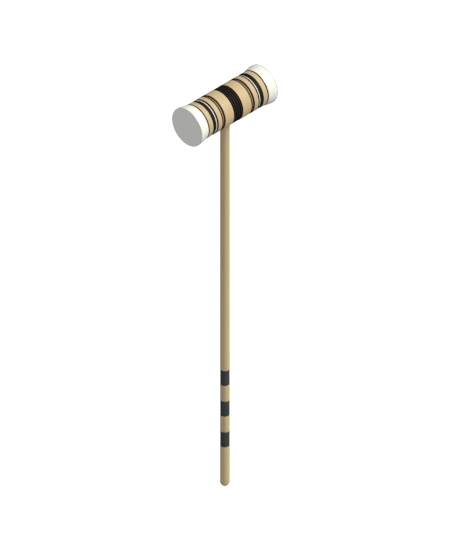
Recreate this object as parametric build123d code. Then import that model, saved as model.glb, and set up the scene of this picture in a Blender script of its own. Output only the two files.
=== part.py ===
from build123d import *
import os
from math import pi

# Garden croquet mallet, in millimetres. +Z is up along the handle, and the origin is the
# rounded free end of the handle. The head lies on top, with its axis along X; its two
# striking faces look along -X (left) and +X (right).

# ---------------------------------------------------------------- overall sizes
HEAD_AXIS_Z = 877.5        # height of the head's axis above the handle's free end
HEAD_LENGTH = 203.0        # striking face to striking face
BARREL_R = 36.9            # turned wooden barrel
CAP_JOINT_X = 79.1         # where the wood ends and the cap starts, from the middle
RIM_R = 40.2               # largest radius of the flared caps
HANDLE_R = 9.1             # round handle

# ---------------------------------------------------------------- caps and their spigots
SPIGOT_R = 31.8            # turned spigot that the cap is pressed over
CAP_FACE_THICK = 8.0       # thickness of the striking face
CAP_ROOT_R = 37.15         # outer radius of the cap where it meets the wood
CAP_EDGE = 0.8             # rounding of the rim at the striking face
SNAP_X = 87.0              # snap bead inside the cap, in a groove of the spigot
SNAP_HALF = 1.6            # half width of the snap bead
SNAP_DEEP = 0.7            # how far it stands into the spigot
SHOULDER_CHAMFER = 1.4     # broken edge of the wood at the cap joint
CAP_LIP = 1.0              # broken edge of the cap at the same joint

# ---------------------------------------------------------------- ribbed centre band
CENTRE_HALF = 12.2         # half width of the band
BEAD_HALF = 10.9           # half width of its ribbed part, between two flat margins
MARGIN_R = 36.0            # top of the flat margins
CENTRE_FLOOR_R = 34.0      # bottom of its groove
BEAD_CREST_R = 36.65       # tops of the four beads
BEAD_ROOT_R = 35.2         # bottoms of the crevices
BEADS = 4
STRIP_GAP = 0.35           # butt joint of the wrapped strips, on the underside

# ---------------------------------------------------------------- black bands near the caps
BLACK_IN, BLACK_OUT = 58.6, 67.2
BLACK_R, BLACK_FLOOR_R = 36.0, 34.4
BLACK_CROWN = 0.2          # the strip is slightly crowned

# ---------------------------------------------------------------- rings, as (from, to) along X
# A stepped recess holds a dark ring against its inner wall, a white ring on its floor and
# the black band. Each pair of brown rings lines the two walls of one groove.
DARK_LINE = (53.2, 56.4)
DARK_R, DARK_FLOOR_R = 36.8, 34.9
WHITE_LINE = (56.4, 58.6)
WHITE_R, WHITE_FLOOR_R = 36.2, 34.9
BROWN_LINES = ((34.4, 37.3), (40.5, 43.4))
BROWN_R, BROWN_FLOOR_R = 36.8, 34.3
VALLEY_R = 35.4            # bare wood between the two brown rings

# ---------------------------------------------------------------- handle
HANDLE_BAND_R_IN = 8.5     # bottom of the shallow recesses for the bands
HANDLE_BAND_R = 8.88       # the bands lie a little below the wood beside them
HANDLE_BAND_LENGTH = 34.6
HANDLE_BAND_MIDDLES = (110.5, 181.4, 252.3)

# ---------------------------------------------------------------- screw joint of head and handle
SOCKET_DEPTH = 12.7        # depth of the socket below the lowest line of the barrel
TENON_R = 8.88             # the handle's end is turned down a little where it enters the head
TENON_FROM_Z = 840.0       # just below the head
SOCKET_CLEAR = 0.1         # radial clearance of the tenon in its socket
WASHER_THICK = 1.6
WASHER_R, WASHER_HOLE_R = 8.7, 5.1
THREAD_R = 4.7625          # 3/8 inch, 16 threads to the inch, drawn at its outer diameter
THREAD_CLEAR = 0.05        # radial clearance of the stud in the insert
THREAD_ENGAGED = 20.6      # stud standing in the insert when the joint is tight
STUD_END_CHAMFER = 1.0
INSERT_R = 7.15
INSERT_LENGTH = 22.2
WOOD_SCREW_R = 4.4         # the glued half of the stud
WOOD_SCREW_LENGTH = 31.0
WOOD_SCREW_POINT = 7.0
STUD_SHANK = 6.0           # plain shank below the handle's shoulder

half = HEAD_LENGTH / 2
socket_mouth_z = HEAD_AXIS_Z - BARREL_R
socket_floor_z = socket_mouth_z + SOCKET_DEPTH
shoulder_z = socket_floor_z - WASHER_THICK


def turned(points_and_edges):
    """A solid of revolution about the head's axis, from a closed run of edges in the X, radius plane."""
    outline = Wire(points_and_edges)
    solid = revolve(Face(outline), Axis.X, 360)
    return Pos(0, 0, HEAD_AXIS_Z) * solid


def polygon_edges(points):
    return [
        Edge.make_line(a, b)
        for a, b in zip(points, points[1:] + points[:1])
    ]


def ring(x0, x1, r_in, r_out):
    """A plain ring about the head's axis between two places along X."""
    return turned(polygon_edges([(x0, r_in), (x1, r_in), (x1, r_out), (x0, r_out)]))


def handle_ring(z0, z1, r_in, r_out):
    """A plain ring about the handle's axis."""
    outer = Pos(0, 0, (z0 + z1) / 2) * Cylinder(r_out, z1 - z0)
    inner = Pos(0, 0, (z0 + z1) / 2) * Cylinder(r_in, z1 - z0)
    return outer - inner


def post(z0, z1, r):
    """A cylinder about the handle's axis."""
    return Pos(0, 0, (z0 + z1) / 2) * Cylinder(r, z1 - z0)


def mirrored(shape):
    return mirror(shape, about=Plane.YZ)


def only(shape):
    """The one solid of a shape."""
    solids = shape.solids()
    assert len(solids) == 1, len(solids)
    return solids[0]


# ---------------------------------------------------------------- head barrel
# Outline of the right half, from the middle to the end of the spigot, in (x, radius).
right_steps = [
    (0.0, CENTRE_FLOOR_R),
    (CENTRE_HALF, CENTRE_FLOOR_R),
    (CENTRE_HALF, BARREL_R),
]
inner_ring, outer_ring = BROWN_LINES
right_steps += [
    (inner_ring[0], BARREL_R),
    (inner_ring[0], BROWN_FLOOR_R),
    (inner_ring[1], BROWN_FLOOR_R),
    (inner_ring[1], VALLEY_R),
    (outer_ring[0], VALLEY_R),
    (outer_ring[0], BROWN_FLOOR_R),
    (outer_ring[1], BROWN_FLOOR_R),
    (outer_ring[1], BARREL_R),
    (DARK_LINE[0], BARREL_R),
    (DARK_LINE[0], DARK_FLOOR_R),
    (BLACK_IN, DARK_FLOOR_R),
    (BLACK_IN, BLACK_FLOOR_R),
    (BLACK_OUT, BLACK_FLOOR_R),
    (BLACK_OUT, BARREL_R),
    (CAP_JOINT_X - SHOULDER_CHAMFER, BARREL_R),
    (CAP_JOINT_X, BARREL_R - SHOULDER_CHAMFER),
    (CAP_JOINT_X, SPIGOT_R),
    (SNAP_X - SNAP_HALF, SPIGOT_R),
    (SNAP_X, SPIGOT_R - SNAP_DEEP),
    (SNAP_X + SNAP_HALF, SPIGOT_R),
    (half - CAP_FACE_THICK, SPIGOT_R),
    (half - CAP_FACE_THICK, 0.0),
]
left_steps = [(-x, r) for x, r in reversed(right_steps[1:])]
barrel = turned(polygon_edges(left_steps + right_steps))

socket = post(socket_mouth_z - 5, socket_floor_z, TENON_R + SOCKET_CLEAR)
insert_hole = post(socket_floor_z, socket_floor_z + INSERT_LENGTH, INSERT_R)
barrel = only(barrel - socket - insert_hole)

# ---------------------------------------------------------------- flared caps
rim_start = half - CAP_EDGE
flare = Edge.make_spline(
    [
        (CAP_JOINT_X + CAP_LIP, CAP_ROOT_R),
        (83.0, 37.85),
        (88.5, 38.82),
        (93.0, 39.68),
        (96.6, RIM_R - 0.06),
        (rim_start, RIM_R),
    ],
    tangents=[(1.0, 0.145), (1.0, 0.0)],
)
edge_round = Edge.make_three_point_arc(
    (rim_start, RIM_R),
    (rim_start + CAP_EDGE * 0.70710678, RIM_R - CAP_EDGE * 0.29289322),
    (half, RIM_R - CAP_EDGE),
)
cap_lines = [
    ((half, RIM_R - CAP_EDGE), (half, 0.0)),
    ((half, 0.0), (half - CAP_FACE_THICK, 0.0)),
    ((half - CAP_FACE_THICK, 0.0), (half - CAP_FACE_THICK, SPIGOT_R)),
    ((half - CAP_FACE_THICK, SPIGOT_R), (SNAP_X + SNAP_HALF, SPIGOT_R)),
    ((SNAP_X + SNAP_HALF, SPIGOT_R), (SNAP_X, SPIGOT_R - SNAP_DEEP)),
    ((SNAP_X, SPIGOT_R - SNAP_DEEP), (SNAP_X - SNAP_HALF, SPIGOT_R)),
    ((SNAP_X - SNAP_HALF, SPIGOT_R), (CAP_JOINT_X, SPIGOT_R)),
    ((CAP_JOINT_X, SPIGOT_R), (CAP_JOINT_X, CAP_ROOT_R - CAP_LIP)),
    ((CAP_JOINT_X, CAP_ROOT_R - CAP_LIP), (CAP_JOINT_X + CAP_LIP, CAP_ROOT_R)),
]
right_cap = only(
    turned([flare, edge_round] + [Edge.make_line(a, b) for a, b in cap_lines])
)
left_cap = only(mirrored(right_cap))

# ---------------------------------------------------------------- ribbed centre band
bead = 2 * BEAD_HALF / BEADS
band_edges = []
for i in range(BEADS):
    x0 = -BEAD_HALF + i * bead
    band_edges.append(
        Edge.make_three_point_arc(
            (x0, BEAD_ROOT_R), (x0 + bead / 2, BEAD_CREST_R), (x0 + bead, BEAD_ROOT_R)
        )
    )
band_rim = [
    (BEAD_HALF, BEAD_ROOT_R),
    (BEAD_HALF, MARGIN_R),
    (CENTRE_HALF, MARGIN_R),
    (CENTRE_HALF, CENTRE_FLOOR_R),
    (-CENTRE_HALF, CENTRE_FLOOR_R),
    (-CENTRE_HALF, MARGIN_R),
    (-BEAD_HALF, MARGIN_R),
    (-BEAD_HALF, BEAD_ROOT_R),
]
band_edges += [Edge.make_line(a, b) for a, b in zip(band_rim, band_rim[1:])]
butt_joint = Pos(0, 0, HEAD_AXIS_Z - BARREL_R) * Box(HEAD_LENGTH, STRIP_GAP, 8.0)
centre_band = turned(band_edges) - socket - butt_joint
centre_band = only(centre_band)

# ---------------------------------------------------------------- bands and lines beside it
black_edges = [
    Edge.make_three_point_arc(
        (BLACK_IN, BLACK_R - BLACK_CROWN),
        ((BLACK_IN + BLACK_OUT) / 2, BLACK_R),
        (BLACK_OUT, BLACK_R - BLACK_CROWN),
    )
] + [
    Edge.make_line(a, b)
    for a, b in (
        ((BLACK_OUT, BLACK_R - BLACK_CROWN), (BLACK_OUT, BLACK_FLOOR_R)),
        ((BLACK_OUT, BLACK_FLOOR_R), (BLACK_IN, BLACK_FLOOR_R)),
        ((BLACK_IN, BLACK_FLOOR_R), (BLACK_IN, BLACK_R - BLACK_CROWN)),
    )
]
right_black_band = only(turned(black_edges) - butt_joint)
left_black_band = only(mirrored(right_black_band))
right_white_line = only(ring(*WHITE_LINE, WHITE_FLOOR_R, WHITE_R))
left_white_line = only(mirrored(right_white_line))
right_dark_line = only(ring(*DARK_LINE, DARK_FLOOR_R, DARK_R))
left_dark_line = only(mirrored(right_dark_line))
right_brown_lines = Compound(
    children=[only(ring(*x, BROWN_FLOOR_R, BROWN_R)) for x in BROWN_LINES]
)
left_brown_lines = Compound(
    children=[
        only(mirrored(ring(*x, BROWN_FLOOR_R, BROWN_R))) for x in BROWN_LINES
    ]
)

# ---------------------------------------------------------------- handle
shaft = post(HANDLE_R, TENON_FROM_Z, HANDLE_R) + post(TENON_FROM_Z, shoulder_z, TENON_R)
tip = Pos(0, 0, HANDLE_R) * Sphere(HANDLE_R)
tip = tip & (Pos(0, 0, HANDLE_R / 2) * Box(4 * HANDLE_R, 4 * HANDLE_R, HANDLE_R))
shaft = shaft + tip
bands = []
for middle in HANDLE_BAND_MIDDLES:
    z0, z1 = middle - HANDLE_BAND_LENGTH / 2, middle + HANDLE_BAND_LENGTH / 2
    one = handle_ring(z0, z1, HANDLE_BAND_R_IN, HANDLE_BAND_R)
    bands.append(only(one))
    shaft = shaft - handle_ring(z0, z1, HANDLE_BAND_R_IN, HANDLE_R + 1)
lower_handle_band, middle_handle_band, upper_handle_band = bands

# ---------------------------------------------------------------- stud, washer and insert
stud_top_z = shoulder_z + WASHER_THICK + THREAD_ENGAGED
shank_z = shoulder_z - STUD_SHANK
screw_z = shank_z - WOOD_SCREW_LENGTH
point_z = screw_z - WOOD_SCREW_POINT
stud_outline = [
    (0.0, point_z),
    (WOOD_SCREW_R, screw_z),
    (WOOD_SCREW_R, shank_z),
    (THREAD_R, shank_z),
    (THREAD_R, stud_top_z - STUD_END_CHAMFER),
    (THREAD_R - STUD_END_CHAMFER, stud_top_z),
    (0.0, stud_top_z),
]
stud_face = Face(
    Wire(
        [
            Edge.make_line((a[0], 0, a[1]), (b[0], 0, b[1]))
            for a, b in zip(stud_outline, stud_outline[1:] + stud_outline[:1])
        ]
    )
)
screw_stud = only(revolve(stud_face, Axis.Z, 360))
handle_shaft = only(shaft - screw_stud)

shoulder_washer = only(
    handle_ring(shoulder_z, socket_floor_z, WASHER_HOLE_R, WASHER_R)
)
threaded_insert = only(
    handle_ring(
        socket_floor_z,
        socket_floor_z + INSERT_LENGTH,
        THREAD_R + THREAD_CLEAR,
        INSERT_R,
    )
)

# ---------------------------------------------------------------- files
nodes = {
    "head_barrel": barrel,
    "left_cap": left_cap,
    "right_cap": right_cap,
    "centre_band": centre_band,
    "left_black_band": left_black_band,
    "right_black_band": right_black_band,
    "left_white_line": left_white_line,
    "right_white_line": right_white_line,
    "left_dark_line": left_dark_line,
    "right_dark_line": right_dark_line,
    "left_brown_lines": left_brown_lines,
    "right_brown_lines": right_brown_lines,
    "handle_shaft": handle_shaft,
    "lower_handle_band": lower_handle_band,
    "middle_handle_band": middle_handle_band,
    "upper_handle_band": upper_handle_band,
    "screw_stud": screw_stud,
    "shoulder_washer": shoulder_washer,
    "threaded_insert": threaded_insert,
}
os.makedirs("parts", exist_ok=True)
for name, shape in nodes.items():
    export_step(shape, f"parts/{name}.step")

travel = THREAD_ENGAGED
print("nodes", len(nodes))
print("socket floor", socket_floor_z, "shoulder", shoulder_z, "stud top", stud_top_z)
print("thread engaged", travel, "head volume cm3", round(barrel.volume / 1000, 1))
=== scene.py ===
import bpy, bmesh, math
from mathutils import Vector, Matrix


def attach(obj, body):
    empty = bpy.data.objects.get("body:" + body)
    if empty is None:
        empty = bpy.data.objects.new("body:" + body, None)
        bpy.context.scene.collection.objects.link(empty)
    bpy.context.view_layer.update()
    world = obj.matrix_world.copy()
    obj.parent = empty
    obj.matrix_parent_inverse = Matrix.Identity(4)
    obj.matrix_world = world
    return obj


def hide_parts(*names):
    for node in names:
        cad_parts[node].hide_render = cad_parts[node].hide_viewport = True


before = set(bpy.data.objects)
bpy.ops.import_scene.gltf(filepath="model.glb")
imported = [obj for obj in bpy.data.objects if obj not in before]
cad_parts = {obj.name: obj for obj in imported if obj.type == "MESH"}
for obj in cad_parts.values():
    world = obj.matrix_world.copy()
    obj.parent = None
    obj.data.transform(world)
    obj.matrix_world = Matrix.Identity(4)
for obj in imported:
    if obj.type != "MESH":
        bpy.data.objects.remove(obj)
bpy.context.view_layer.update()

# ============================================================ sizes, in millimetres
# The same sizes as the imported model: +Z up along the handle, head axis along X.
AXIS_Z = 877.5
HALF = 101.5
BARREL_R = 36.9
CAP_X = 79.1
SHOULDER, CAP_LIP = 1.4, 1.0
RIM_R = 40.2
SPIGOT_R = 31.8
CAP_FACE = 8.0
SNAP_X, SNAP_HALF, SNAP_DEEP = 87.0, 1.6, 0.7
CENTRE_HALF, CENTRE_FLOOR = 12.2, 34.0
BEAD_HALF, MARGIN_R = 10.9, 36.0
BEAD_CREST, BEAD_ROOT, BEADS = 36.65, 35.2, 4
STRIP_GAP = 0.35
BROWN_RINGS = ((34.4, 37.3), (40.5, 43.4))
BROWN_R, BROWN_FLOOR = 36.8, 34.3
VALLEY_R = 35.4
DARK_RING = (53.2, 56.4)
DARK_R, DARK_FLOOR = 36.8, 34.9
WHITE_RING = (56.4, 58.6)
WHITE_R, WHITE_FLOOR = 36.2, 34.9
BLACK_RING = (58.6, 67.2)
BLACK_R, BLACK_FLOOR, BLACK_CROWN = 36.0, 34.4, 0.2
HANDLE_R = 9.1
TENON_R, TENON_Z = 8.88, 840.0
SHOULDER_Z, SOCKET_Z = 851.7, 853.3
SOCKET_R = 8.98
GRIP_R, GRIP_FLOOR, GRIP_LENGTH = 8.88, 8.5, 34.6
GRIP_MIDDLES = (110.5, 181.4, 252.3)
THREAD_R, PITCH = 4.7625, 1.5875
INSERT_R, INSERT_LENGTH = 7.15, 22.2
STUD_TOP = 873.9
WASHER_R, WASHER_HOLE = 8.7, 5.1


# ============================================================ mesh helpers
def fillet(corners, steps=5):
    """Rounds the corners of an outline. Each corner is (a, r) or (a, r, radius)."""
    n = len(corners)
    out = []
    for i, c in enumerate(corners):
        p = Vector(c[:2])
        rad = c[2] if len(c) > 2 else 0.0
        a, b = Vector(corners[i - 1][:2]), Vector(corners[(i + 1) % n][:2])
        if rad <= 0 or i in (0, n - 1) and len(corners[0]) > 3:
            out.append((p.x, p.y))
            continue
        da, db = (a - p), (b - p)
        la, lb = da.length, db.length
        da.normalize()
        db.normalize()
        cosang = max(-1.0, min(1.0, da.dot(db)))
        ang = math.acos(cosang)
        if ang > math.pi - 1e-3 or ang < 1e-3:
            out.append((p.x, p.y))
            continue
        cut = min(rad / math.tan(ang / 2), 0.45 * la, 0.45 * lb)
        rr = cut * math.tan(ang / 2)
        centre = p + (da + db).normalized() * (rr / math.sin(ang / 2))
        s, e = p + da * cut - centre, p + db * cut - centre
        turn = math.atan2(s.x * e.y - s.y * e.x, s.dot(e))
        a0 = math.atan2(s.y, s.x)
        for k in range(steps + 1):
            t = a0 + turn * k / steps
            out.append((centre.x + rr * math.cos(t), centre.y + rr * math.sin(t)))
    return out


def dense(points, longest, closed=True):
    """Adds points on long straight stretches of an outline."""
    out = []
    n = len(points)
    for i in range(n if closed else n - 1):
        a, b = points[i], points[(i + 1) % n]
        k = max(1, int(math.ceil(math.dist(a, b) / longest)))
        out += [(a[0] + (b[0] - a[0]) * j / k, a[1] + (b[1] - a[1]) * j / k) for j in range(k)]
    if not closed:
        out.append(points[-1])
    return out


def finish_mesh(name, bm, sharp=35.0):
    bmesh.ops.remove_doubles(bm, verts=bm.verts, dist=1e-7)
    bmesh.ops.recalc_face_normals(bm, faces=bm.faces)
    me = bpy.data.meshes.new(name)
    bm.to_mesh(me)
    bm.free()
    for p in me.polygons:
        p.use_smooth = True
    me.set_sharp_from_angle(angle=math.radians(sharp))
    ob = bpy.data.objects.new(name, me)
    bpy.context.scene.collection.objects.link(ob)
    return ob


def lathe_into(bm, outline, axis, segments, gap=0.0, turn=0.0):
    """Turns a closed outline of (along, radius) points, in mm, about the head's or the handle's axis. Points at radius 0 become poles.
    gap leaves a slot of that width on the underside (head axis only)."""
    n = len(outline)
    rings = []
    count = segments + (1 if gap else 0)
    for j in range(count):
        row = []
        for a, r in outline:
            if gap:
                g = math.asin(min(0.9, gap / 2 / max(r, 1e-6)))
                phi = g + (2 * math.pi - 2 * g) * j / segments
            else:
                phi = 2 * math.pi * j / segments + turn
            if axis == "X":
                co = (a, r * math.sin(phi), AXIS_Z - r * math.cos(phi))
            else:
                co = (r * math.cos(phi), r * math.sin(phi), a)
            row.append(bm.verts.new([c * 0.001 for c in co]))
        rings.append(row)
    for j in range(segments):
        r0, r1 = rings[j], rings[(j + 1) % count]
        for i in range(n):
            k = (i + 1) % n
            pa, pb = outline[i][1] < 1e-9, outline[k][1] < 1e-9
            if pa and pb:
                continue
            if pa:
                bm.faces.new((r0[i], r0[k], r1[k]))
            elif pb:
                bm.faces.new((r0[i], r0[k], r1[i]))
            else:
                bm.faces.new((r0[i], r0[k], r1[k], r1[i]))
    if gap:
        bm.faces.new(rings[0])
        bm.faces.new(list(reversed(rings[-1])))


def lathe(name, outline, axis="X", segments=224, gap=0.0, sharp=35.0):
    bm = bmesh.new()
    lathe_into(bm, outline, axis, segments, gap)
    return finish_mesh(name, bm, sharp)


def mirror_outline(points):
    return [(-a, r) for a, r in reversed(points)]


def cut(ob, cutter, sharp=35.0):
    """Takes the cutter out of ob, for good."""
    m = ob.modifiers.new("cut", "BOOLEAN")
    m.operation, m.solver, m.object = "DIFFERENCE", "EXACT", cutter
    dg = bpy.context.evaluated_depsgraph_get()
    me = bpy.data.meshes.new_from_object(ob.evaluated_get(dg))
    ob.modifiers.remove(m)
    old = ob.data
    ob.data = me
    me.name = old.name + "_cut"
    bpy.data.meshes.remove(old)
    bpy.data.objects.remove(cutter)
    for p in me.polygons:
        p.use_smooth = True
    me.set_sharp_from_angle(angle=math.radians(sharp))
    return ob


def post_z(name, z0, z1, r, segments=128):
    return lathe(name, [(z0, 0.0), (z0, r), (z1, r), (z1, 0.0)], "Z", segments)


# ============================================================ head barrel
def barrel_outline():
    e = 0.28  # worn edges of the turned steps
    right = [
        (CENTRE_HALF, CENTRE_FLOOR),
        (CENTRE_HALF, BARREL_R, e),
        (BROWN_RINGS[0][0], BARREL_R, 0.12),
        (BROWN_RINGS[0][0], BROWN_FLOOR),
        (BROWN_RINGS[0][1], BROWN_FLOOR),
        (BROWN_RINGS[0][1], VALLEY_R, 0.1),
        (BROWN_RINGS[1][0], VALLEY_R, 0.1),
        (BROWN_RINGS[1][0], BROWN_FLOOR),
        (BROWN_RINGS[1][1], BROWN_FLOOR),
        (BROWN_RINGS[1][1], BARREL_R, 0.12),
        (DARK_RING[0], BARREL_R, 0.12),
        (DARK_RING[0], DARK_FLOOR),
        (WHITE_RING[1], DARK_FLOOR),
        (WHITE_RING[1], BLACK_FLOOR),
        (BLACK_RING[1], BLACK_FLOOR),
        (BLACK_RING[1], BARREL_R, e),
        (CAP_X - SHOULDER, BARREL_R, 0.3),
        (CAP_X, BARREL_R - SHOULDER, 0.2),
        (CAP_X, SPIGOT_R),
        (SNAP_X - SNAP_HALF, SPIGOT_R, 0.2),
        (SNAP_X, SPIGOT_R - SNAP_DEEP, 0.3),
        (SNAP_X + SNAP_HALF, SPIGOT_R, 0.2),
        (HALF - CAP_FACE, SPIGOT_R, 0.4),
        (HALF - CAP_FACE, 0.0),
    ]
    left = [(-c[0],) + tuple(c[1:]) for c in reversed(right)]
    return dense(fillet(left + right, 4), 4.0)


head_barrel = lathe("turned_barrel", barrel_outline(), "X", 256)
cut(head_barrel, post_z("socket_cutter", 830.0, SOCKET_Z, SOCKET_R))
cut(head_barrel, post_z("insert_cutter", SOCKET_Z - 1, SOCKET_Z + INSERT_LENGTH, INSERT_R - 0.02))


# ============================================================ flared caps
def hermite(points, m0, m1, steps):
    """A smooth line through points of rising x, with end slopes m0 and m1."""
    xs, ys = [p[0] for p in points], [p[1] for p in points]
    n = len(points)
    d = [m0]
    for i in range(1, n - 1):
        h0, h1 = xs[i] - xs[i - 1], xs[i + 1] - xs[i]
        s0, s1 = (ys[i] - ys[i - 1]) / h0, (ys[i + 1] - ys[i]) / h1
        d.append((s0 * h1 + s1 * h0) / (h0 + h1))
    d.append(m1)
    out = []
    for i in range(n - 1):
        h = xs[i + 1] - xs[i]
        for k in range(steps):
            t = k / steps
            a = (1 + 2 * t) * (1 - t) ** 2
            b = t * (1 - t) ** 2
            c = t * t * (3 - 2 * t)
            e = t * t * (t - 1)
            out.append((xs[i] + h * t, a * ys[i] + b * h * d[i] + c * ys[i + 1] + e * h * d[i + 1]))
    out.append(points[-1])
    return out


def cap_outline():
    edge = 0.8
    x0 = HALF - edge
    flare = hermite(
        [(CAP_X + CAP_LIP, 37.15), (83.0, 37.85), (88.5, 38.82), (93.0, 39.68), (96.6, RIM_R - 0.06), (x0, RIM_R)],
        0.145, 0.0, 5,
    )
    lip = [
        (CAP_X, SPIGOT_R + 0.02),
        (CAP_X, 37.15 - CAP_LIP),
        (CAP_X + 0.07, 37.15 - 0.20),
        (CAP_X + 0.20, 37.15 - 0.06),
    ]
    rim = [
        (x0 + edge * math.sin(t), RIM_R - edge + edge * math.cos(t))
        for t in [math.pi / 2 * k / 8 for k in range(1, 9)]
    ]
    face = [(HALF, r) for r in (37.5, 36.0, 32.0, 27.0, 21.0, 15.0, 9.0, 4.0, 0.0)]
    inner = fillet(
        [
            (HALF - CAP_FACE, 0.0),
            (HALF - CAP_FACE, SPIGOT_R + 0.02, 0.4),
            (SNAP_X + SNAP_HALF, SPIGOT_R + 0.02, 0.2),
            (SNAP_X, SPIGOT_R - SNAP_DEEP + 0.02, 0.3),
            (SNAP_X - SNAP_HALF, SPIGOT_R + 0.02, 0.2),
            (CAP_X + 2.0, SPIGOT_R + 0.02),
        ],
        4,
    )
    return lip + flare + rim + face + inner


right_cap = lathe("right_flared_cap", cap_outline(), "X", 256, sharp=40)
left_cap = lathe("left_flared_cap", mirror_outline(cap_outline()), "X", 256, sharp=40)


# ============================================================ ribbed centre band
def ribbed_outline():
    edge = [(CENTRE_HALF - 0.02, CENTRE_FLOOR), (CENTRE_HALF - 0.02, MARGIN_R, 0.25), (BEAD_HALF, MARGIN_R, 0.25), (BEAD_HALF, BEAD_ROOT)]
    right_edge = fillet(list(reversed(edge)), 4)
    pts = [(-a, r) for a, r in reversed(right_edge)][:-1]
    bead = 2 * BEAD_HALF / BEADS
    w = bead / 2
    h = BEAD_CREST - BEAD_ROOT
    for i in range(BEADS):
        mid = -BEAD_HALF + (i + 0.5) * bead
        for k in range(0, 13):
            t = -1 + 2 * k / 12
            x = mid + t * (w - 0.04)
            r = BEAD_ROOT + h * (max(0.0, 1 - abs(t) ** 2.6)) ** 0.62
            pts.append((x, r))
    return pts + right_edge[1:]


centre_band = lathe("ribbed_centre_band", ribbed_outline(), "X", 288, gap=STRIP_GAP, sharp=50)
cut(centre_band, post_z("band_cutter", 830.0, 848.0, SOCKET_R), sharp=50)


# ============================================================ bands and rings beside it
def crowned(x0, x1, r, floor, crown, e=0.25):
    pts = [(x0 + 0.02, floor), (x0 + 0.02, r - crown - e)]
    n = 12
    for k in range(n + 1):
        t = -1 + 2 * k / n
        x = (x0 + x1) / 2 + t * ((x1 - x0) / 2 - 0.02 - e * 0.4 * (1 if abs(t) > 0.9 else 0))
        y = r - crown * t * t
        if abs(t) > 0.99:
            y -= e * 0.35
        pts.append((x, y))
    pts += [(x1 - 0.02, r - crown - e), (x1 - 0.02, floor)]
    return pts


def flat_ring(x0, x1, r, floor, e=0.15):
    return fillet([(x0, floor), (x0, r, e), (x1, r, e), (x1, floor)], 4)


right_black_band = lathe("right_black_strip", crowned(*BLACK_RING, BLACK_R, BLACK_FLOOR, BLACK_CROWN), "X", 256, gap=STRIP_GAP)
left_black_band = lathe("left_black_strip", mirror_outline(crowned(*BLACK_RING, BLACK_R, BLACK_FLOOR, BLACK_CROWN)), "X", 256, gap=STRIP_GAP)
right_white_line = lathe("right_white_ring", flat_ring(*WHITE_RING, WHITE_R, WHITE_FLOOR, 0.2), "X", 256)
left_white_line = lathe("left_white_ring", mirror_outline(flat_ring(*WHITE_RING, WHITE_R, WHITE_FLOOR, 0.2)), "X", 256)
right_dark_line = lathe("right_dark_ring", flat_ring(*DARK_RING, DARK_R, DARK_FLOOR, 0.18), "X", 256)
left_dark_line = lathe("left_dark_ring", mirror_outline(flat_ring(*DARK_RING, DARK_R, DARK_FLOOR, 0.18)), "X", 256)


def two_rings(name, side):
    bm = bmesh.new()
    for x0, x1 in BROWN_RINGS:
        o = flat_ring(x0, x1, BROWN_R, BROWN_FLOOR, 0.2)
        lathe_into(bm, o if side > 0 else mirror_outline(o), "X", 256)
    return finish_mesh(name, bm)


right_brown_lines = two_rings("right_brown_rings", 1)
left_brown_lines = two_rings("left_brown_rings", -1)


# ============================================================ handle
def handle_outline():
    tip = [
        (HANDLE_R - HANDLE_R * math.cos(t), HANDLE_R * math.sin(t))
        for t in [math.pi / 2 * k / 20 for k in range(0, 20)]
    ]
    steps = [(HANDLE_R, HANDLE_R)]
    for mid in GRIP_MIDDLES:
        z0, z1 = mid - GRIP_LENGTH / 2, mid + GRIP_LENGTH / 2
        steps += [(z0, HANDLE_R, 0.18), (z0, GRIP_FLOOR), (z1, GRIP_FLOOR), (z1, HANDLE_R, 0.18)]
    steps += [
        (TENON_Z, HANDLE_R, 0.12),
        (TENON_Z, TENON_R),
        (SHOULDER_Z, TENON_R, 0.3),
        (SHOULDER_Z, THREAD_R + 0.02),
        (807.7, THREAD_R + 0.02),
        (800.0, 0.0),
    ]
    body = fillet(steps, 4)
    return tip + dense(body, 8.0, closed=False)


handle_shaft = lathe("round_shaft", handle_outline(), "Z", 96)


def grip_outline(mid):
    z0, z1 = mid - GRIP_LENGTH / 2 + 0.02, mid + GRIP_LENGTH / 2 - 0.02
    o = fillet([(z0, GRIP_FLOOR), (z0, GRIP_R, 0.14), (z1, GRIP_R, 0.14), (z1, GRIP_FLOOR)], 4)
    return dense(o, 2.0)


grip_bands = [
    lathe(name, grip_outline(mid), "Z", 96)
    for name, mid in zip(("lower_dark_band", "middle_dark_band", "upper_dark_band"), GRIP_MIDDLES)
]


# ============================================================ stud, washer and insert
def thread_height(z, phi, crest, root, crest_flat=0.125, root_flat=0.25):
    """Radius of a 60-degree right-hand thread at height z and angle phi."""
    u = (z / PITCH - phi / (2 * math.pi)) % 1.0
    u = abs(u - 0.5) * 2  # 0 at the middle of the crest, 1 at the middle of the root
    lo, hi = crest_flat, 1 - root_flat
    if u <= lo:
        return crest
    if u >= hi:
        return root
    return crest + (root - crest) * (u - lo) / (hi - lo)


def thread_rows(bm, z0, z1, crest, root, around, per_turn, fade_low, fade_high, chamfer_low=0.0, chamfer_high=0.0):
    rows = []
    n = max(2, int(round((z1 - z0) / PITCH * per_turn)))
    for i in range(n + 1):
        z = z0 + (z1 - z0) * i / n
        row = []
        for j in range(around):
            phi = 2 * math.pi * j / around
            r = thread_height(z, phi, crest, root)
            k = 1.0
            if fade_low:
                k = min(k, (z - z0) / fade_low)
            if fade_high:
                k = min(k, (z1 - z) / fade_high)
            r = crest + (r - crest) * max(0.0, min(1.0, k)) if fade_low or fade_high else r
            if chamfer_low and z - z0 < chamfer_low:
                r = min(r, crest - chamfer_low + (z - z0))
            if chamfer_high and z1 - z < chamfer_high:
                r = min(r, crest - chamfer_high + (z1 - z))
            row.append(bm.verts.new((r * math.cos(phi) * 0.001, r * math.sin(phi) * 0.001, z * 0.001)))
        rows.append(row)
    return rows


def bridge(bm, a, b):
    n = len(a)
    for j in range(n):
        k = (j + 1) % n
        bm.faces.new((a[j], a[k], b[k], b[j]))


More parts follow.
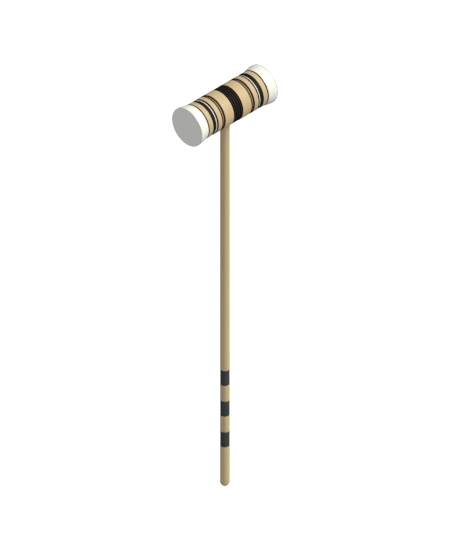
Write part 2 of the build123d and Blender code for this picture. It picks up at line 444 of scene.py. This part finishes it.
def round_row(bm, z, r, around):
    return [
        bm.verts.new((r * math.cos(2 * math.pi * j / around) * 0.001, r * math.sin(2 * math.pi * j / around) * 0.001, z * 0.001))
        for j in range(around)
    ]


def screw_stud_mesh():
    bm = bmesh.new()
    around = 72
    shank_z = SHOULDER_Z - 6.0
    screw_z = shank_z - 31.0
    point_z = screw_z - 7.0
    rows = [round_row(bm, point_z + 0.15, 0.25, around)]
    bm.faces.new(list(reversed(rows[0])))
    # coarse wood thread of the glued half, growing out of the point
    wood_pitch = 2.6
    n = 190
    for i in range(1, n):
        z = point_z + 0.15 + (shank_z - 0.8 - point_z) * i / n
        core = 3.15 * min(1.0, (z - point_z) / 7.0 + 0.04)
        crest = 4.35 * min(1.0, (z - point_z) / 6.2 + 0.03)
        row = []
        for j in range(around):
            phi = 2 * math.pi * j / around
            u = abs((z / wood_pitch - phi / (2 * math.pi)) % 1.0 - 0.5) * 2
            k = max(0.0, 1 - u / 0.42)
            if z > shank_z - 4.0:
                k *= max(0.0, (shank_z - 1.0 - z) / 3.0)
            r = core + (crest - core) * k
            row.append(bm.verts.new((r * math.cos(phi) * 0.001, r * math.sin(phi) * 0.001, z * 0.001)))
        rows.append(row)
    rows.append(round_row(bm, shank_z - 0.3, 3.2, around))
    rows.append(round_row(bm, shank_z, 4.5, around))
    rows.append(round_row(bm, shank_z + 0.26, THREAD_R, around))
    rows.append(round_row(bm, SHOULDER_Z - 1.2, THREAD_R, around))
    rows += thread_rows(bm, SHOULDER_Z - 1.0, STUD_TOP, THREAD_R, THREAD_R - 0.974, around, 16, 1.4, 0, 0, 1.0)
    for a, b in zip(rows, rows[1:]):
        bridge(bm, a, b)
    bm.faces.new(rows[-1])
    return finish_mesh("double_ended_stud", bm, sharp=60)


screw_stud = screw_stud_mesh()


def washer_outline():
    return fillet(
        [
            (SHOULDER_Z, WASHER_HOLE, 0.12),
            (SHOULDER_Z, WASHER_R, 0.15),
            (SOCKET_Z, WASHER_R, 0.35),
            (SOCKET_Z, WASHER_HOLE, 0.25),
        ],
        4,
    )


shoulder_washer = lathe("flat_washer", washer_outline(), "Z", 96)


def insert_mesh():
    bm = bmesh.new()
    around = 96
    z0, z1 = SOCKET_Z, SOCKET_Z + INSERT_LENGTH
    clear = 0.05
    rows = []
    # outside: collar, knife thread that bites the wood, run-out
    rows.append(round_row(bm, z0 + 0.02, INSERT_R - 0.35, around))
    rows.append(round_row(bm, z0 + 0.3, INSERT_R - 0.05, around))
    rows.append(round_row(bm, z0 + 1.4, INSERT_R - 0.05, around))
    n = 150
    for i in range(n + 1):
        z = z0 + 1.6 + (z1 - 0.4 - (z0 + 1.6)) * i / n
        fade = min(1.0, (z - z0 - 1.6) / 1.5, (z1 - 0.4 - z) / 2.5)
        row = []
        for j in range(around):
            phi = 2 * math.pi * j / around
            u = abs((z / 2.5 - phi / (2 * math.pi)) % 1.0 - 0.5) * 2
            k = max(0.0, 1 - u / 0.5) * max(0.0, fade)
            r = INSERT_R - 0.95 + 0.9 * k
            row.append(bm.verts.new((r * math.cos(phi) * 0.001, r * math.sin(phi) * 0.001, z * 0.001)))
        rows.append(row)
    rows.append(round_row(bm, z1, INSERT_R - 1.2, around))
    # inside: the same 3/8 inch thread as the stud, with its clearance
    inner = []
    m = int(round((z1 - z0) / PITCH * 16))
    for i in range(m + 1):
        z = z1 - (z1 - z0 - 0.02) * i / m
        row = []
        for j in range(around):
            phi = 2 * math.pi * j / around
            r = thread_height(z, phi, THREAD_R + clear, THREAD_R - 0.86 + clear, 0.125, 0.25)
            c0 = max(0.0, 0.9 - (z - z0)) * 1.0
            c1 = max(0.0, 0.9 - (z1 - z)) * 1.0
            r = max(r, THREAD_R + clear - 0.86 + c0 * 1.1, THREAD_R + clear - 0.86 + c1 * 1.1)
            row.append(bm.verts.new((r * math.cos(phi) * 0.001, r * math.sin(phi) * 0.001, z * 0.001)))
        inner.append(row)
    rows += inner
    for a, b in zip(rows, rows[1:]):
        bridge(bm, a, b)
    bridge(bm, rows[-1], rows[0])
    return finish_mesh("brass_insert", bm, sharp=60)


threaded_insert = insert_mesh()


# ============================================================ materials
class Nodes:
    """A short way to write a node tree."""

    def __init__(self, name):
        self.mat = bpy.data.materials.new(name)
        self.mat.use_nodes = True
        self.tree = self.mat.node_tree
        self.tree.nodes.clear()
        self.out = self.add("ShaderNodeOutputMaterial")
        self.bsdf = self.add("ShaderNodeBsdfPrincipled")
        self.link(self.bsdf, "BSDF", self.out, "Surface")
        self.coord = self.add("ShaderNodeTexCoord")

    def add(self, kind, **values):
        node = self.tree.nodes.new(kind)
        for k, v in values.items():
            setattr(node, k, v)
        return node

    def link(self, a, out, b, into):
        self.tree.links.new(a.outputs[out], b.inputs[into])

    def place(self, scale=(1, 1, 1), move=(0, 0, 0), turn=(0, 0, 0), source=None):
        m = self.add("ShaderNodeMapping")
        m.inputs["Location"].default_value = move
        m.inputs["Rotation"].default_value = turn
        m.inputs["Scale"].default_value = scale
        if source is None:
            self.link(self.coord, "Object", m, "Vector")
        else:
            self.tree.links.new(source, m.inputs["Vector"])
        return m.outputs["Vector"]

    def noise(self, vector, scale=1.0, detail=2.0, rough=0.5, distort=0.0):
        n = self.add("ShaderNodeTexNoise")
        n.inputs["Scale"].default_value = scale
        n.inputs["Detail"].default_value = detail
        n.inputs["Roughness"].default_value = rough
        n.inputs["Distortion"].default_value = distort
        self.tree.links.new(vector, n.inputs["Vector"])
        return n.outputs["Fac"]

    def math(self, op, a, b=None, clamp=False):
        n = self.add("ShaderNodeMath", operation=op, use_clamp=clamp)
        for i, v in enumerate((a, b)):
            if v is None:
                continue
            if isinstance(v, (int, float)):
                n.inputs[i].default_value = v
            else:
                self.tree.links.new(v, n.inputs[i])
        return n.outputs[0]

    def remap(self, value, a, b, c=0.0, d=1.0, smooth=False):
        n = self.add("ShaderNodeMapRange")
        if smooth:
            n.interpolation_type = "SMOOTHSTEP"
        n.inputs["From Min"].default_value = a
        n.inputs["From Max"].default_value = b
        n.inputs["To Min"].default_value = c
        n.inputs["To Max"].default_value = d
        self.tree.links.new(value, n.inputs["Value"])
        return n.outputs["Result"]

    def mix(self, fac, a, b, mode="MIX"):
        n = self.add("ShaderNodeMix", data_type="RGBA", blend_type=mode)
        for sock, v in ((n.inputs["Factor"], fac), (n.inputs[6], a), (n.inputs[7], b)):
            if isinstance(v, (int, float)):
                sock.default_value = v
            elif isinstance(v, tuple):
                sock.default_value = (*v, 1.0)
            else:
                self.tree.links.new(v, sock)
        return n.outputs[2]

    def ramp(self, value, stops):
        n = self.add("ShaderNodeValToRGB")
        el = n.color_ramp.elements
        while len(el) < len(stops):
            el.new(0.5)
        for e, (pos, colour) in zip(el, stops):
            e.position = pos
            e.color = (*colour, 1.0) if isinstance(colour, tuple) else (colour, colour, colour, 1.0)
        self.tree.links.new(value, n.inputs["Fac"])
        return n.outputs["Color"]

    def xyz(self, vector):
        n = self.add("ShaderNodeSeparateXYZ")
        self.tree.links.new(vector, n.inputs[0])
        return n.outputs["X"], n.outputs["Y"], n.outputs["Z"]

    def bump(self, height, strength, distance, normal=None):
        n = self.add("ShaderNodeBump")
        n.inputs["Strength"].default_value = strength
        n.inputs["Distance"].default_value = distance
        self.tree.links.new(height, n.inputs["Height"])
        if normal is not None:
            self.tree.links.new(normal, n.inputs["Normal"])
        return n.outputs["Normal"]

    def set(self, name, value):
        sock = self.bsdf.inputs[name]
        if isinstance(value, tuple):
            sock.default_value = (*value, 1.0)
        elif isinstance(value, (int, float)):
            sock.default_value = value
        else:
            self.tree.links.new(value, sock)


def scaled(c, k):
    return tuple(min(1.0, v * k) for v in c)


def wood(name, base, along, ring_centre, ring_step, tilt, contrast=1.0):
    """Varnished turned wood. along is the axis the grain runs on, X or Z."""
    n = Nodes(name)
    long_i = 0 if along == "X" else 2

    def stretched(long_scale, cross_scale):
        s = [cross_scale] * 3
        s[long_i] = long_scale
        return tuple(s)

    p = n.place((1, 1, 1), move=ring_centre, turn=tilt)
    # slow wander of the rings along and round the log
    wander = n.noise(n.place(stretched(5.0, 22.0)), 1.0, 3.0, 0.55)
    wander2 = n.noise(n.place(stretched(14.0, 70.0), move=(3, 1, 2)), 1.0, 2.0, 0.5)
    x, y, z = n.xyz(p)
    a, b = (y, z) if along == "X" else (x, y)
    dist = n.math("SQRT", n.math("ADD", n.math("MULTIPLY", a, a), n.math("MULTIPLY", b, b)))
    q = n.math("MULTIPLY", dist, 1.0 / ring_step)
    q = n.math("ADD", q, n.math("MULTIPLY", wander, 2.6))
    q = n.math("ADD", q, n.math("MULTIPLY", wander2, 0.5))
    ring = n.math("FRACT", q)
    late = n.ramp(ring, [(0.0, 0.35), (0.10, 0.0), (0.45, 0.12), (0.80, 0.55), (0.94, 1.0), (1.0, 0.45)])
    fibre = n.noise(n.place(stretched(38.0, 2100.0)), 1.0, 3.0, 0.6)
    fibre_wide = n.noise(n.place(stretched(16.0, 620.0), move=(7, 5, 1)), 1.0, 3.0, 0.55)
    fleck = n.noise(n.place(stretched(330.0, 1900.0), move=(1, 9, 4)), 1.0, 1.0, 0.4)
    fleck = n.remap(fleck, 0.66, 0.74, smooth=True)
    cloud = n.noise(n.place(stretched(9.0, 34.0), move=(2, 2, 8)), 1.0, 2.0, 0.5)

    light = scaled(base, 1.07)
    dark = (base[0] * 0.80, base[1] * 0.74, base[2] * 0.63)
    c = n.mix(n.math("MULTIPLY", late, 0.62 * contrast), light, dark)
    c = n.mix(n.remap(fibre, 0.32, 0.70, 0.0, 0.34 * contrast), c, scaled(dark, 0.93))
    c = n.mix(n.remap(fibre_wide, 0.35, 0.72, 0.0, 0.26 * contrast), c, (min(1, base[0] * 1.10), base[1] * 1.10, base[2] * 1.12))
    c = n.mix(n.math("MULTIPLY", fleck, 0.42 * contrast), c, (base[0] * 0.60, base[1] * 0.50, base[2] * 0.38))
    c = n.mix(n.remap(cloud, 0.3, 0.7, 0.0, 0.30), c, (base[0] * 0.96, base[1] * 0.93, base[2] * 0.86))
    # the fine rings a turning tool leaves, and pores, under the varnish
    tool = n.noise(n.place((2600.0, 40.0, 40.0) if along == "X" else (40.0, 40.0, 2600.0)), 1.0, 2.0, 0.5)
    h = n.math("ADD", n.math("MULTIPLY", fibre, 0.8), n.math("MULTIPLY", tool, 0.25))
    h = n.math("SUBTRACT", h, n.math("MULTIPLY", fleck, 0.6))
    n.set("Normal", n.bump(h, 0.16, 0.00012))
    rough = n.noise(n.place((60, 60, 60)), 1.0, 3.0, 0.6)
    n.set("Roughness", n.remap(n.math("ADD", rough, n.math("MULTIPLY", fibre, 0.3)), 0.35, 0.95, 0.48, 0.62))
    n.set("Specular IOR Level", 0.30)
    n.set("Coat Weight", 0.05)
    n.set("Coat Roughness", 0.30)
    return n, c


HEAD_WOOD = (0.622, 0.475, 0.288)
HANDLE_WOOD = (0.622, 0.482, 0.281)

n_head, c_head = wood("head_wood", HEAD_WOOD, "X", (0.0, 0.052, -0.8275), 0.0042, (0.0, 0.022, 0.016))
# the wood towards the ends, which took less varnish, is a little paler
hx, hy, hz = n_head.xyz(n_head.place(move=(0, 0, -AXIS_Z * 0.001)))
ax = n_head.math("ABSOLUTE", hx)
paler = n_head.remap(ax, 0.0440, 0.0470, smooth=True)
c_head = n_head.mix(paler, c_head, (0.97, 1.0, 1.06), "MULTIPLY")
# a dark line of stain in the joint at each cap
hr = n_head.math("SQRT", n_head.math("ADD", n_head.math("MULTIPLY", hy, hy), n_head.math("MULTIPLY", hz, hz)))
stain_ax = n_head.math("ADD", ax, n_head.remap(hx, -0.01, 0.01, 0.00030, 0.0))
seam = n_head.remap(stain_ax, 0.07742, 0.07752, smooth=True)
c_head = n_head.mix(n_head.math("MULTIPLY", seam, 0.95), c_head, (0.026, 0.018, 0.010))
# the walls of the grooves are painted near black: partly the colour of their bands, partly painted shade on the walls
# down in the recesses
edge_in = n_head.remap(ax, 0.01226, 0.01234, 1.0, 0.0, smooth=True)
edge_out = n_head.math(
    "MULTIPLY",
    n_head.remap(ax, 0.05306, 0.05314, smooth=True),
    n_head.remap(ax, 0.06726, 0.06734, 1.0, 0.0, smooth=True),
)
c_head = n_head.mix(n_head.math("MAXIMUM", edge_in, edge_out), c_head, (0.020, 0.017, 0.015))
# the wood between each pair of brown rings is scorched a little, and darkened more next to the rings as painted shade
# beside the ring walls
floor_low = n_head.remap(hr, 0.0356, 0.0360, 1.0, 0.0, smooth=True)
between = n_head.math(
    "MULTIPLY",
    n_head.remap(ax, 0.03600, 0.03650, smooth=True),
    n_head.remap(ax, 0.04130, 0.04180, 1.0, 0.0, smooth=True),
)
# darkest beside the ring walls: painted shade over the even scorch
scorch_and_shade = n_head.remap(n_head.math("ABSOLUTE", n_head.math("SUBTRACT", ax, 0.0389)), 0.0, 0.0016, 0.50, 0.72)
scorch_and_shade = n_head.math("MULTIPLY", scorch_and_shade, n_head.math("MULTIPLY", floor_low, between))
c_head = n_head.mix(scorch_and_shade, c_head, (0.270, 0.165, 0.075))
n_head.set("Base Color", c_head)
head_wood = n_head.mat

n_handle, c_handle = wood("handle_wood", HANDLE_WOOD, "Z", (0.031, 0.018, 0.0), 0.0034, (0.010, -0.006, 0.0))
n_handle.set("Base Color", c_handle)
handle_wood = n_handle.mat


def moulded(name, base, rough, grain=3200.0, strength=0.05, mottle=0.03, scuffs=0.0, spec=0.4):
    n = Nodes(name)
    big = n.noise(n.place((70, 70, 70)), 1.0, 3.0, 0.55)
    fine = n.noise(n.place((grain, grain, grain)), 1.0, 2.0, 0.5)
    c = n.mix(n.remap(big, 0.3, 0.7), scaled(base, 1 - mottle), scaled(base, 1 + mottle))
    if scuffs:
        s1 = n.noise(n.place((900, 60, 260), turn=(0.5, 0.2, 0.1)), 1.0, 2.0, 0.5)
        s2 = n.noise(n.place((900, 300, 50), turn=(-0.4, 0.1, 0.3), move=(3, 4, 5)), 1.0, 2.0, 0.5)
        s = n.math("MAXIMUM", n.remap(s1, 0.66, 0.78, smooth=True), n.remap(s2, 0.68, 0.80, smooth=True))
        c = n.mix(n.math("MULTIPLY", s, scuffs), c, scaled(base, 0.62))
    n.colour = c
    n.set("Base Color", c)
    n.set("Roughness", n.remap(n.math("ADD", n.math("MULTIPLY", big, 0.6), n.math("MULTIPLY", fine, 0.4)), 0.3, 0.7, rough - 0.06, rough + 0.06))
    n.set("Specular IOR Level", spec)
    n.set("Normal", n.bump(fine, strength, 0.00006))
    return n


n_cap = moulded("cap_white", (0.945, 0.942, 0.850), 0.40, 2600, 0.10, 0.012, 0.10, 0.5)
cx, cy, cz = n_cap.xyz(n_cap.place(move=(0, 0, -AXIS_Z * 0.001)))
cap_ax = n_cap.math("ABSOLUTE", cx)
cap_r = n_cap.math("SQRT", n_cap.math("ADD", n_cap.math("MULTIPLY", cy, cy), n_cap.math("MULTIPLY", cz, cz)))
# the rim is greyed, partly scuffs and partly painted edge shade that sets the rim off against the white, stronger at
# the right end
rim_ax = n_cap.math("ADD", cap_ax, n_cap.remap(cx, -0.01, 0.01, 0.0, 0.0003))
rim = n_cap.math(
    "MULTIPLY",
    n_cap.remap(rim_ax, 0.09940, 0.10035, smooth=True),
    n_cap.remap(cap_r, 0.03885, 0.03955, smooth=True),
)
rim_patches = n_cap.remap(n_cap.noise(n_cap.place((420, 420, 420), move=(5, 2, 1)), 1.0, 4.0, 0.65), 0.30, 0.66, 0.62, 1.0)
broad_patches = n_cap.remap(n_cap.noise(n_cap.place((70, 70, 70), move=(1, 6, 3)), 1.0, 2.0, 0.5), 0.30, 0.70, 0.80, 1.0)
rim = n_cap.math("MULTIPLY", rim, n_cap.math("MULTIPLY", rim_patches, broad_patches))
right_end_weight = n_cap.remap(cx, -0.02, 0.02, 0.40, 1.0)
# grey mixed into the rim: scuffs and painted edge shade
scuffed_and_shaded_cap = n_cap.mix(n_cap.math("MULTIPLY", rim, right_end_weight), n_cap.colour, (0.205, 0.200, 0.185))
# varnish that crept onto the cap beside the joint, and glue and dirt in the joint itself
crept = n_cap.remap(cap_ax, 0.08030, 0.08210, 1.0, 0.0, smooth=True)
crept = n_cap.math("MULTIPLY", crept, n_cap.remap(broad_patches, 0.80, 1.0, 0.75, 1.0))
scuffed_and_shaded_cap = n_cap.mix(crept, scuffed_and_shaded_cap, (0.80, 0.73, 0.50))
dirty_ax = n_cap.math("ADD", cap_ax, n_cap.remap(cx, -0.01, 0.01, 0.0, 0.00013))
joint = n_cap.remap(dirty_ax, 0.08028, 0.08038, 1.0, 0.0, smooth=True)
n_cap.set("Base Color", n_cap.mix(joint, scuffed_and_shaded_cap, (0.022, 0.019, 0.015)))
n_cap.set("Coat Weight", n_cap.math("MULTIPLY", n_cap.math("SUBTRACT", 1.0, joint), 0.6))
n_cap.set("Specular IOR Level", n_cap.remap(joint, 0.0, 1.0, 0.5, 0.05))
n_cap.set("Coat Roughness", 0.28)
cap_white = n_cap.mat
n_line = moulded("line_white", (0.81, 0.745, 0.635), 0.40, 1800, 0.06, 0.02, 0.05, 0.3)
# the dark ring's enamel overlaps the white one's edge a little
lx, ly, lz = n_line.xyz(n_line.place())
over = n_line.remap(n_line.math("ABSOLUTE", lx), 0.05668, 0.05682, 1.0, 0.0, smooth=True)
n_line.set("Base Color", n_line.mix(over, n_line.colour, (0.014, 0.010, 0.007)))
line_white = n_line.mat


def wound(name, base, rough, axis, spec=0.35, lighter=1.6, crest_light=None):
    """A dark strip wound round the axis, with fine lines along its run and a little dust.
    The last argument gives (radius low, radius high, colour) for crests made lighter: partly rubbed wear, partly a
    painted highlight on the raised tops, with the hollows left darkest as painted shade."""
    n = Nodes(name)
    across = (5200.0, 30.0, 30.0) if axis == "X" else (30.0, 30.0, 5200.0)
    lines = n.noise(n.place(across), 1.0, 2.0, 0.6)
    fine = n.noise(n.place((2400, 2400, 2400)), 1.0, 2.0, 0.5)
    dust = n.noise(n.place((140, 140, 140)), 1.0, 4.0, 0.6)
    c = n.mix(n.remap(dust, 0.35, 0.75), scaled(base, 0.85), scaled(base, lighter))
    c = n.mix(n.remap(lines, 0.3, 0.7, 0.0, 0.35), c, scaled(base, 0.6))
    # crests lighter than the hollows: partly rubbed wear, partly painted highlight on the tops
    if crest_light:
        x, y, z = n.xyz(n.place(move=(0, 0, -AXIS_Z * 0.001)))
        r = n.math("SQRT", n.math("ADD", n.math("MULTIPLY", y, y), n.math("MULTIPLY", z, z)))
        crest_lift = n.remap(r, crest_light[0] * 0.001, crest_light[1] * 0.001, smooth=True)
        crest_lift = n.math("MULTIPLY", crest_lift, n.remap(dust, 0.30, 0.62, 0.75, 1.0))
        c = n.mix(crest_lift, c, crest_light[2])
    n.set("Base Color", c)
    n.set("Roughness", n.remap(n.math("ADD", n.math("MULTIPLY", lines, 0.5), n.math("MULTIPLY", dust, 0.5)), 0.3, 0.7, rough - 0.08, rough + 0.08))
    n.set("Specular IOR Level", spec)
    h = n.math("ADD", n.math("MULTIPLY", lines, 0.6), n.math("MULTIPLY", fine, 0.5))
    n.set("Normal", n.bump(h, 0.22, 0.00008))
    return n.mat


band_black = wound("band_black", (0.0175, 0.0133, 0.0073), 0.60, "X", 0.12, 1.4)
# nearly black hollows with lighter crests: painted shade in the hollows, wear and painted highlight on the crests
ribbed_black = wound("ribbed_black", (0.0031, 0.0027, 0.0025), 0.58, "X", 0.08, 1.5, (36.12, 36.62, (0.0260, 0.0200, 0.0160)))
handle_band = wound("handle_band", (0.0650, 0.0640, 0.0612), 0.66, "Z", 0.16, 1.25)
line_dark = wound("line_dark", (0.0126, 0.0090, 0.0063), 0.58, "X", 0.12, 1.4)


def burnt(name, base):
    n = Nodes(name)
    run = n.noise(n.place((60, 900, 900)), 1.0, 3.0, 0.6)
    char = n.noise(n.place((1200, 260, 260)), 1.0, 3.0, 0.6)
    c = n.mix(n.remap(run, 0.3, 0.7), scaled(base, 0.70), scaled(base, 1.45))
    c = n.mix(n.remap(char, 0.45, 0.75, 0.0, 0.5), c, scaled(base, 0.45))
    n.set("Base Color", c)
    n.set("Roughness", n.remap(run, 0.3, 0.7, 0.50, 0.66))
    n.set("Specular IOR Level", 0.14)
    n.set("Normal", n.bump(char, 0.25, 0.0001))
    return n.mat


line_brown = burnt("line_brown", (0.0370, 0.0113, 0.0027))


def metal(name, base, rough, axis_scale, stain, metallic):
    n = Nodes(name)
    brush = n.noise(n.place(axis_scale), 1.0, 2.0, 0.5)
    cloud = n.noise(n.place((260, 260, 260)), 1.0, 3.0, 0.6)
    c = n.mix(n.remap(cloud, 0.35, 0.7), base, stain)
    n.set("Base Color", c)
    n.set("Metallic", metallic)
    n.set("Roughness", n.remap(n.math("ADD", n.math("MULTIPLY", brush, 0.5), n.math("MULTIPLY", cloud, 0.5)), 0.3, 0.7, rough - 0.07, rough + 0.09))
    n.set("Normal", n.bump(brush, 0.12, 0.00004))
    return n.mat


zinc_steel = metal("zinc_steel", (0.80, 0.81, 0.83), 0.36, (2200, 2200, 500), (0.62, 0.63, 0.65), 0.55)
brass = metal("brass_insert", (0.84, 0.62, 0.28), 0.36, (1500, 1500, 3500), (0.64, 0.44, 0.19), 0.60)


# ============================================================ pieces onto their bodies
def dress(piece, body, material, slot, *nodes):
    piece.data.materials.clear()
    piece.data.materials.append(material)
    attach(piece, body)
    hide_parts(*nodes)


dress(head_barrel, "head", head_wood, "head_wood", "head_barrel")
dress(left_cap, "head", cap_white, "cap_white", "left_cap")
dress(right_cap, "head", cap_white, "cap_white", "right_cap")
dress(centre_band, "head", ribbed_black, "band_black", "centre_band")
dress(left_black_band, "head", band_black, "band_black", "left_black_band")
dress(right_black_band, "head", band_black, "band_black", "right_black_band")
dress(left_white_line, "head", line_white, "line_white", "left_white_line")
dress(right_white_line, "head", line_white, "line_white", "right_white_line")
dress(left_dark_line, "head", line_dark, "line_dark", "left_dark_line")
dress(right_dark_line, "head", line_dark, "line_dark", "right_dark_line")
dress(left_brown_lines, "head", line_brown, "line_brown", "left_brown_lines")
dress(right_brown_lines, "head", line_brown, "line_brown", "right_brown_lines")
dress(threaded_insert, "head", brass, "brass_insert", "threaded_insert")
dress(handle_shaft, "handle", handle_wood, "handle_wood", "handle_shaft")
for piece, node in zip(grip_bands, ("lower_handle_band", "middle_handle_band", "upper_handle_band")):
    dress(piece, "handle", handle_band, "handle_band", node)
dress(screw_stud, "handle", zinc_steel, "zinc_steel", "screw_stud")
dress(shoulder_washer, "washer", zinc_steel, "zinc_steel", "shoulder_washer")

# ============================================================ floor, light and camera
scene = bpy.context.scene
scene.view_settings.view_transform = "Standard"
scene.view_settings.look = "None"
scene.view_settings.exposure = 0.0
scene.view_settings.gamma = 1.0

floor_mesh = bpy.data.meshes.new("pale_floor")
floor_mesh.from_pydata([(-30, -30, 0), (30, -30, 0), (30, 30, 0), (-30, 30, 0)], [], [(0, 1, 2, 3)])
floor = bpy.data.objects.new("pale_floor", floor_mesh)
scene.collection.objects.link(floor)
floor.location.z = -0.0002
fm = bpy.data.materials.new("pale_floor")
fm.use_nodes = True
ft = fm.node_tree
ft.nodes.clear()
f_out = ft.nodes.new("ShaderNodeOutputMaterial")
f_add = ft.nodes.new("ShaderNodeAddShader")
f_dif = ft.nodes.new("ShaderNodeBsdfDiffuse")
f_emi = ft.nodes.new("ShaderNodeEmission")
f_dif.inputs["Color"].default_value = (0.30, 0.30, 0.30, 1)
f_emi.inputs["Color"].default_value = (1, 1, 1, 1)
f_emi.inputs["Strength"].default_value = 0.88
ft.links.new(f_dif.outputs[0], f_add.inputs[0])
ft.links.new(f_emi.outputs[0], f_add.inputs[1])
ft.links.new(f_add.outputs[0], f_out.inputs["Surface"])
floor_mesh.materials.append(fm)
floor.visible_diffuse = False
floor.visible_glossy = False
floor.visible_shadow = False

# even light from everywhere, white behind the object, and dimmer in reflections
world = bpy.data.worlds.new("studio")
scene.world = world
world.use_nodes = True
wt = world.node_tree
wt.nodes.clear()
w_out = wt.nodes.new("ShaderNodeOutputWorld")
w_path = wt.nodes.new("ShaderNodeLightPath")
w_amb = wt.nodes.new("ShaderNodeBackground")
w_cam = wt.nodes.new("ShaderNodeBackground")
w_glo = wt.nodes.new("ShaderNodeBackground")
w_mix1 = wt.nodes.new("ShaderNodeMixShader")
w_mix2 = wt.nodes.new("ShaderNodeMixShader")
w_amb.inputs["Color"].default_value = (0.985, 0.998, 1.065, 1)
w_amb.inputs["Strength"].default_value = 0.456
w_cam.inputs["Color"].default_value = (1, 1, 1, 1)
w_cam.inputs["Strength"].default_value = 1.05
w_glo.inputs["Color"].default_value = (1, 1, 1, 1)
w_glo.inputs["Strength"].default_value = 0.06
wt.links.new(w_path.outputs["Is Glossy Ray"], w_mix1.inputs[0])
wt.links.new(w_amb.outputs[0], w_mix1.inputs[1])
wt.links.new(w_glo.outputs[0], w_mix1.inputs[2])
wt.links.new(w_path.outputs["Is Camera Ray"], w_mix2.inputs[0])
wt.links.new(w_mix1.outputs[0], w_mix2.inputs[1])
wt.links.new(w_cam.outputs[0], w_mix2.inputs[2])
wt.links.new(w_mix2.outputs[0], w_out.inputs["Surface"])

to_light = Vector((0.334, -0.580, 0.743)).normalized()
key = bpy.data.lights.new("soft_key", "SUN")
key.energy = 0.866 * math.pi
key.angle = math.radians(24)
key.color = (1.0, 0.992, 0.89)
key_ob = bpy.data.objects.new("soft_key", key)
key_ob.rotation_mode = "QUATERNION"
key_ob.rotation_quaternion = to_light.to_track_quat("Z", "Y")
key_ob.location = to_light * 3
scene.collection.objects.link(key_ob)

# isometric camera of the photograph: parallel rays, 1.8875 mm to a pixel, 550 pixels high
PX = 0.0018875
toward = Vector((-1, -1, 1)).normalized()
right = Vector((1, -1, 0)).normalized()
up = toward.cross(right).normalized()
head_centre = Vector((0, 0, AXIS_Z * 0.001))
target = head_centre + right * (0.10 * PX) - up * (169.51 * PX)
cam = bpy.data.cameras.new("camera")
cam.type = "ORTHO"
cam.ortho_scale = 550 * PX
cam.clip_start, cam.clip_end = 0.05, 60.0
cam_ob = bpy.data.objects.new("camera", cam)
rot = Matrix((right, up, toward)).transposed().to_4x4()
cam_ob.matrix_world = Matrix.Translation(target + toward * 3.0) @ rot
scene.collection.objects.link(cam_ob)
scene.camera = cam_ob
